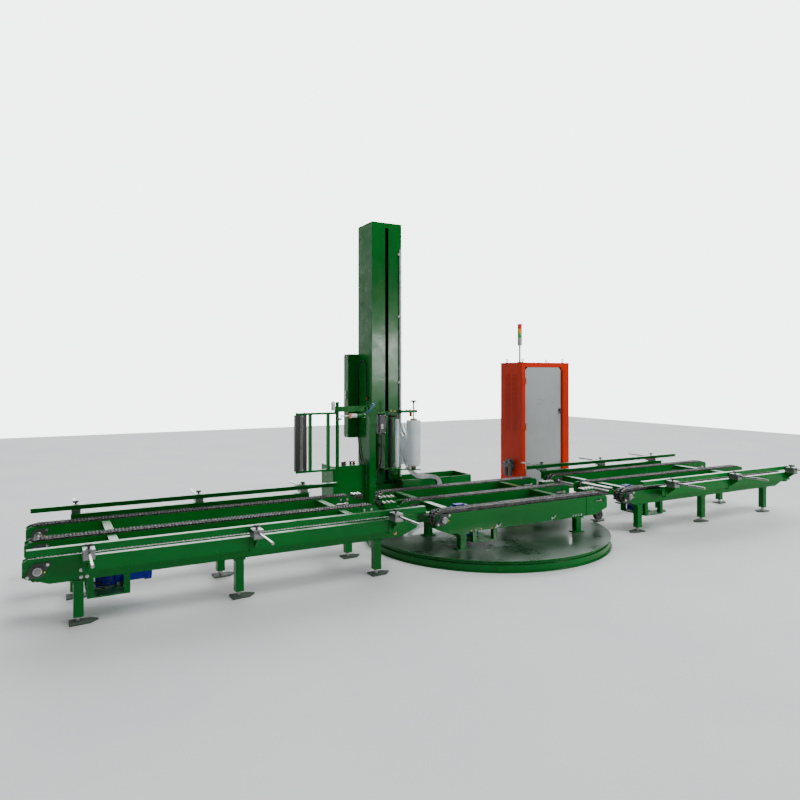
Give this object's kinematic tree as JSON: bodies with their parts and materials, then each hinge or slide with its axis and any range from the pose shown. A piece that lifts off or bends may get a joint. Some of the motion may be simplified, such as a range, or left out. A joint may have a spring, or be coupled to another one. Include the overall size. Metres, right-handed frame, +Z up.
{
  "type": "turntable pallet wrapper",
  "caption": "Turntable stretch wrapper with powered infeed, turntable and outfeed chain conveyors, film mast with carriage, wiper arm and control cabinet.",
  "frame": {"origin": "on the turntable axis at floor level, centre of the fixed base ring underside", "axes": "+Z up, +X along pallet travel from infeed to outfeed, +Y from the turntable to the mast"},
  "size_m": [7.956, 3.4758, 3.44],
  "materials": {
    "air_unit": "satin",
    "base_ring": "satin",
    "cabinet_door": "satin",
    "cabinet_eyebolts": "satin",
    "cabinet_latch": "satin",
    "cabinet_shell": "satin",
    "carriage_cable": "satin",
    "carriage_frame": "satin",
    "carriage_motor": "satin",
    "clamp_knobs": "satin",
    "conveyor_bearings": "satin",
    "conveyor_chains": "satin",
    "conveyor_gearmotors": "satin",
    "conveyor_transfer_rollers": "satin",
    "drive_pinion": "satin",
    "film_roll": "satin",
    "film_tail": "satin",
    "film_web": "satin",
    "guide_clamps": "satin",
    "infeed_back_guide": "satin",
    "infeed_drive_shaft": "satin",
    "infeed_frame": "satin",
    "infeed_front_guide": "satin",
    "infeed_idlers": "satin",
    "infeed_legs": "satin",
    "mast_base": "satin",
    "mast_cable": "satin",
    "mast_column": "satin",
    "mast_conduit": "satin",
    "mast_lift_drive": "satin",
    "mast_switch_box": "satin",
    "outfeed_back_guide": "satin",
    "outfeed_drive_shaft": "satin",
    "outfeed_frame": "satin",
    "outfeed_front_guide": "satin",
    "outfeed_idlers": "satin",
    "outfeed_legs": "satin",
    "prestretch_roller_1": "satin",
    "prestretch_roller_2": "satin",
    "ring_gear": "satin",
    "signal_base": "satin",
    "signal_lenses": "satin",
    "spindle_handle": "satin",
    "table_bearings": "satin",
    "table_chains": "satin",
    "table_drive_shaft": "satin",
    "table_frame": "satin",
    "table_gearmotor": "satin",
    "table_idlers": "satin",
    "table_legs": "satin",
    "table_transfer_brackets": "satin",
    "table_transfer_rollers": "satin",
    "turntable_disc": "satin",
    "turntable_gearmotor": "satin",
    "wiper_arm": "satin",
    "wiper_brush": "satin",
    "wiper_cylinder": "satin",
    "wiper_hose": "satin",
    "wiper_post": "satin",
    "wiper_rod": "satin"
  },
  "bodies": {
    "frame": {"air_unit": "air_unit", "base_ring": "base_ring", "cabinet_eyebolts": "cabinet_eyebolts", "cabinet_shell": "cabinet_shell", "clamp_knobs": "clamp_knobs", "conveyor_bearings": "conveyor_bearings", "conveyor_chains": "conveyor_chains", "conveyor_gearmotors": "conveyor_gearmotors", "conveyor_transfer_rollers": "conveyor_transfer_rollers", "guide_clamps": "guide_clamps", "infeed_frame": "infeed_frame", "infeed_legs": "infeed_legs", "mast_base": "mast_base", "mast_cable": "mast_cable", "mast_column": "mast_column", "mast_conduit": "mast_conduit", "mast_lift_drive": "mast_lift_drive", "mast_switch_box": "mast_switch_box", "outfeed_frame": "outfeed_frame", "outfeed_legs": "outfeed_legs", "signal_base": "signal_base", "signal_lenses": "signal_lenses", "turntable_gearmotor": "turntable_gearmotor", "wiper_cylinder": "wiper_cylinder", "wiper_hose": "wiper_hose", "wiper_post": "wiper_post"},
    "turntable": {"turntable_disc": "turntable_disc", "ring_gear": "ring_gear", "table_frame": "table_frame", "table_legs": "table_legs", "table_chains": "table_chains", "table_bearings": "table_bearings", "table_gearmotor": "table_gearmotor", "table_transfer_brackets": "table_transfer_brackets", "table_transfer_rollers": "table_transfer_rollers"},
    "carriage": {"carriage_frame": "carriage_frame", "carriage_motor": "carriage_motor", "carriage_cable": "carriage_cable", "film_tail": "film_tail", "film_web": "film_web"},
    "wiper": {"wiper_arm": "wiper_arm", "wiper_brush": "wiper_brush"},
    "infeed_drive_shaft": {"infeed_drive_shaft": "infeed_drive_shaft"},
    "infeed_idlers": {"infeed_idlers": "infeed_idlers"},
    "outfeed_drive_shaft": {"outfeed_drive_shaft": "outfeed_drive_shaft"},
    "outfeed_idlers": {"outfeed_idlers": "outfeed_idlers"},
    "table_drive_shaft": {"table_drive_shaft": "table_drive_shaft"},
    "table_idlers": {"table_idlers": "table_idlers"},
    "infeed_front_guide": {"infeed_front_guide": "infeed_front_guide"},
    "infeed_back_guide": {"infeed_back_guide": "infeed_back_guide"},
    "outfeed_front_guide": {"outfeed_front_guide": "outfeed_front_guide"},
    "outfeed_back_guide": {"outfeed_back_guide": "outfeed_back_guide"},
    "drive_pinion": {"drive_pinion": "drive_pinion"},
    "prestretch_roller_1": {"prestretch_roller_1": "prestretch_roller_1"},
    "prestretch_roller_2": {"prestretch_roller_2": "prestretch_roller_2"},
    "film_roll": {"film_roll": "film_roll"},
    "spindle_handle": {"spindle_handle": "spindle_handle"},
    "wiper_rod": {"wiper_rod": "wiper_rod"},
    "cabinet_door": {"cabinet_door": "cabinet_door"},
    "cabinet_latch": {"cabinet_latch": "cabinet_latch"}
  },
  "joints": [
    {"name": "turntable_spin", "type": "hinge", "parent": "frame", "child": "turntable", "pos_m": [0, 0, 0.05], "axis": [0, 0, 1], "continuous": true},
    {"name": "pinion_spin", "type": "hinge", "parent": "frame", "child": "drive_pinion", "pos_m": [-0.301, 0, 0.05], "axis": [0, 0, 1], "continuous": true},
    {"name": "infeed_drive_spin", "type": "hinge", "parent": "frame", "child": "infeed_drive_shaft", "pos_m": [-3.871, 0, 0.376], "axis": [0, 1, 0], "continuous": true},
    {"name": "infeed_idler_spin", "type": "hinge", "parent": "frame", "child": "infeed_idlers", "pos_m": [-1.3, 0, 0.376], "axis": [0, 1, 0], "continuous": true},
    {"name": "outfeed_drive_spin", "type": "hinge", "parent": "frame", "child": "outfeed_drive_shaft", "pos_m": [1.344, 0, 0.376], "axis": [0, 1, 0], "continuous": true},
    {"name": "outfeed_idler_spin", "type": "hinge", "parent": "frame", "child": "outfeed_idlers", "pos_m": [3.875, 0, 0.376], "axis": [0, 1, 0], "continuous": true},
    {"name": "table_drive_spin", "type": "hinge", "parent": "turntable", "child": "table_drive_shaft", "pos_m": [-0.87, 0, 0.376], "axis": [0, 1, 0], "continuous": true},
    {"name": "table_idler_spin", "type": "hinge", "parent": "turntable", "child": "table_idlers", "pos_m": [0.955, 0, 0.376], "axis": [0, 1, 0], "continuous": true},
    {"name": "infeed_front_guide_set", "type": "slide", "parent": "frame", "child": "infeed_front_guide", "axis": [0, 1, 0], "range_m": [0, 0.12]},
    {"name": "infeed_back_guide_set", "type": "slide", "parent": "frame", "child": "infeed_back_guide", "axis": [0, -1, 0], "range_m": [0, 0.12]},
    {"name": "outfeed_front_guide_set", "type": "slide", "parent": "frame", "child": "outfeed_front_guide", "axis": [0, 1, 0], "range_m": [0, 0.12]},
    {"name": "outfeed_back_guide_set", "type": "slide", "parent": "frame", "child": "outfeed_back_guide", "axis": [0, -1, 0], "range_m": [0, 0.12]},
    {"name": "carriage_lift", "type": "slide", "parent": "frame", "child": "carriage", "axis": [0, 0, 1], "range_m": [-0.1, 2.2]},
    {"name": "prestretch_1_spin", "type": "hinge", "parent": "carriage", "child": "prestretch_roller_1", "pos_m": [-0.281, 1.47, 0.8], "axis": [0, 0, 1], "continuous": true},
    {"name": "prestretch_2_spin", "type": "hinge", "parent": "carriage", "child": "prestretch_roller_2", "pos_m": [-0.229, 1.42, 0.8], "axis": [0, 0, 1], "continuous": true},
    {"name": "film_roll_spin", "type": "hinge", "parent": "carriage", "child": "film_roll", "pos_m": [-0.058, 1.33, 0.8], "axis": [0, 0, 1], "continuous": true},
    {"name": "spindle_lift", "type": "slide", "parent": "carriage", "child": "spindle_handle", "axis": [0, 0, 1], "range_m": [0, 0.06]},
    {"name": "wiper_swing", "type": "hinge", "parent": "frame", "child": "wiper", "pos_m": [-0.968, 1.45, 0.9], "axis": [0, 0, 1], "range_deg": [0, 75]},
    {"name": "wiper_rod_slide", "type": "slide", "parent": "frame", "child": "wiper_rod", "axis": [1, 0, 0], "range_m": [0, 0.1]},
    {"name": "cabinet_door_swing", "type": "hinge", "parent": "frame", "child": "cabinet_door", "pos_m": [1.707, 1.442, 0.9], "axis": [0, 0, -1], "range_deg": [0, 100]},
    {"name": "latch_turn", "type": "hinge", "parent": "cabinet_door", "child": "cabinet_latch", "pos_m": [2.281, 1.45, 1.13], "axis": [0, -1, 0], "range_deg": [0, 90]}
  ],
  "couplings": [
    {"joint": "pinion_spin", "follows": "turntable_spin", "ratio": -4},
    {"joint": "infeed_idler_spin", "follows": "infeed_drive_spin", "ratio": 1},
    {"joint": "outfeed_idler_spin", "follows": "outfeed_drive_spin", "ratio": 1},
    {"joint": "table_idler_spin", "follows": "table_drive_spin", "ratio": 1},
    {"joint": "prestretch_2_spin", "follows": "prestretch_1_spin", "ratio": -1},
    {"joint": "wiper_rod_slide", "follows": "wiper_swing", "m_per_rad": 0.07}
  ]
}
